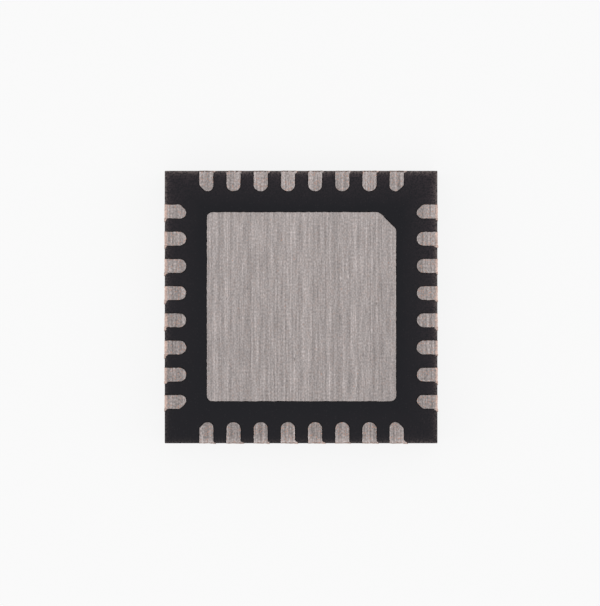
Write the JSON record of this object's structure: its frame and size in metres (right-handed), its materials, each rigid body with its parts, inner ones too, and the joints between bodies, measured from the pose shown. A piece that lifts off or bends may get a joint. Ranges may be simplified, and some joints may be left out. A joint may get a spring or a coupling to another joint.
{
  "type": "quad flat no-lead chip",
  "caption": "Square leadless chip package: black moulding, exposed brushed thermal pad with a chamfered pin 1 corner, and a row of flat terminals flush with each sawn side.",
  "frame": {"origin": "centre of the marked face, the face on which the chip lies", "axes": "+Z out of the terminal face, through the thermal pad; +X and +Y along the sides, with the pin 1 corner in +X +Y. Leads 1 to 8 run down the +X side from +Y to -Y, and the numbering goes on clockwise as seen from +Z"},
  "size_m": [0.005, 0.005, 0.0009],
  "materials": {
    "mould_compound": "matte black silica-filled epoxy moulding, sawn on its four sides",
    "tinned_copper": "etched copper with a brushed matte tin plating, bare copper at the sawn ends",
    "die_attach_epoxy": "cured silver-filled epoxy",
    "silicon": "sawn die with a polished bonded face",
    "gold_wire": "drawn gold"
  },
  "bodies": {
    "root": {"mould_body": "mould_compound", "die_pad": "tinned_copper", "die_attach": "die_attach_epoxy", "silicon_die": "silicon", "lead_01": "tinned_copper", "lead_02": "tinned_copper", "lead_03": "tinned_copper", "lead_04": "tinned_copper", "lead_05": "tinned_copper", "lead_06": "tinned_copper", "lead_07": "tinned_copper", "lead_08": "tinned_copper", "lead_09": "tinned_copper", "lead_10": "tinned_copper", "lead_11": "tinned_copper", "lead_12": "tinned_copper", "lead_13": "tinned_copper", "lead_14": "tinned_copper", "lead_15": "tinned_copper", "lead_16": "tinned_copper", "lead_17": "tinned_copper", "lead_18": "tinned_copper", "lead_19": "tinned_copper", "lead_20": "tinned_copper", "lead_21": "tinned_copper", "lead_22": "tinned_copper", "lead_23": "tinned_copper", "lead_24": "tinned_copper", "lead_25": "tinned_copper", "lead_26": "tinned_copper", "lead_27": "tinned_copper", "lead_28": "tinned_copper", "lead_29": "tinned_copper", "lead_30": "tinned_copper", "lead_31": "tinned_copper", "lead_32": "tinned_copper", "bond_wires_right": "gold_wire", "bond_wires_bottom": "gold_wire", "bond_wires_left": "gold_wire", "bond_wires_top": "gold_wire"}
  },
  "joints": []
}
